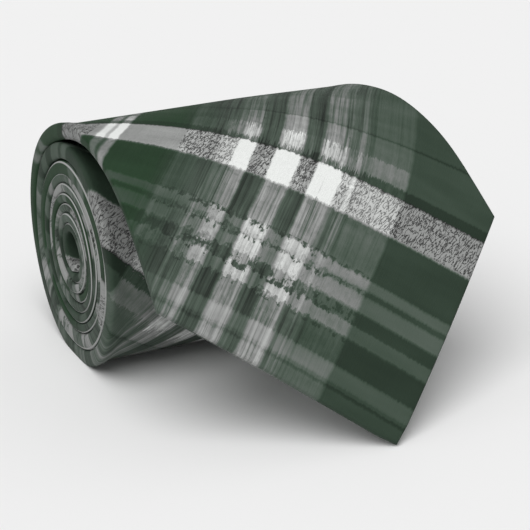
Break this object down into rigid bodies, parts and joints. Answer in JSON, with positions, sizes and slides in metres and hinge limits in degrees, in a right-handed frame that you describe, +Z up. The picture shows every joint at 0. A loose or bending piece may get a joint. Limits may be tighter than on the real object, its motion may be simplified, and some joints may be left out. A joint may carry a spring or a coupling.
{
  "type": "rolled necktie",
  "caption": "Wide plaid necktie rolled up from its narrow end, with the pointed blade draped over the roll and down to the table.",
  "frame": {"origin": "on the table under the roll, where the roll rests, at the middle of the blade's width", "axes": "+X runs along the roll's axis from its flush end to its stepped end, -Y points to the blade's tip, +Z is up"},
  "size_m": [0.1017, 0.1246, 0.0703],
  "materials": {
    "shell": "woven plaid twill with a soft sheen",
    "interlining": "brushed wool",
    "lining": "plain satin lining",
    "thread": "sewing thread",
    "label": "blank woven label"
  },
  "bodies": {
    "roll": {"shell_roll": "shell", "shell_neck": "shell", "shell_tail": "shell", "interlining_roll": "interlining", "slip_stitch_roll": "thread", "tipping_tail": "lining", "bar_tack_tail": "thread"},
    "lap_low": {"shell_lap_low": "shell", "interlining_lap_low": "interlining", "keeper_loop": "shell", "slip_stitch_lap_low": "thread"},
    "lap_mid": {"shell_lap_mid": "shell", "interlining_lap_mid": "interlining", "label": "label", "slip_stitch_lap_mid": "thread"},
    "lap_high": {"shell_lap_high": "shell", "interlining_lap_high": "interlining", "tipping_lap_high": "lining", "bar_tack_blade": "thread"},
    "crown": {"shell_crown": "shell", "interlining_crown": "interlining", "tipping_crown": "lining"},
    "blade": {"shell_blade": "shell", "interlining_blade": "interlining", "tipping_blade": "lining"}
  },
  "joints": [
    {"name": "unroll_low", "type": "hinge", "parent": "roll", "child": "lap_low", "pos_m": [0, 0.01238, 0.00219], "axis": [-1, 0, 0], "range_deg": [0, 45]},
    {"name": "unroll_mid", "type": "hinge", "parent": "lap_low", "child": "lap_mid", "pos_m": [0, 0.03011, 0.01996], "axis": [-1, 0, 0], "range_deg": [0, 45]},
    {"name": "unroll_high", "type": "hinge", "parent": "lap_mid", "child": "lap_high", "pos_m": [0, 0.03008, 0.04553], "axis": [-1, 0, 0], "range_deg": [0, 45]},
    {"name": "unroll_crown", "type": "hinge", "parent": "lap_high", "child": "crown", "pos_m": [0, 0.00765, 0.06611], "axis": [-1, 0, 0], "range_deg": [0, 43]},
    {"name": "blade_lift", "type": "hinge", "parent": "crown", "child": "blade", "pos_m": [0, -0.0359, 0.06534], "axis": [-1, 0, 0], "range_deg": [0, 50]}
  ],
  "couplings": [
    {"joint": "unroll_mid", "follows": "unroll_low", "ratio": 1},
    {"joint": "unroll_high", "follows": "unroll_low", "ratio": 1},
    {"joint": "unroll_crown", "follows": "unroll_low", "ratio": 0.955}
  ]
}
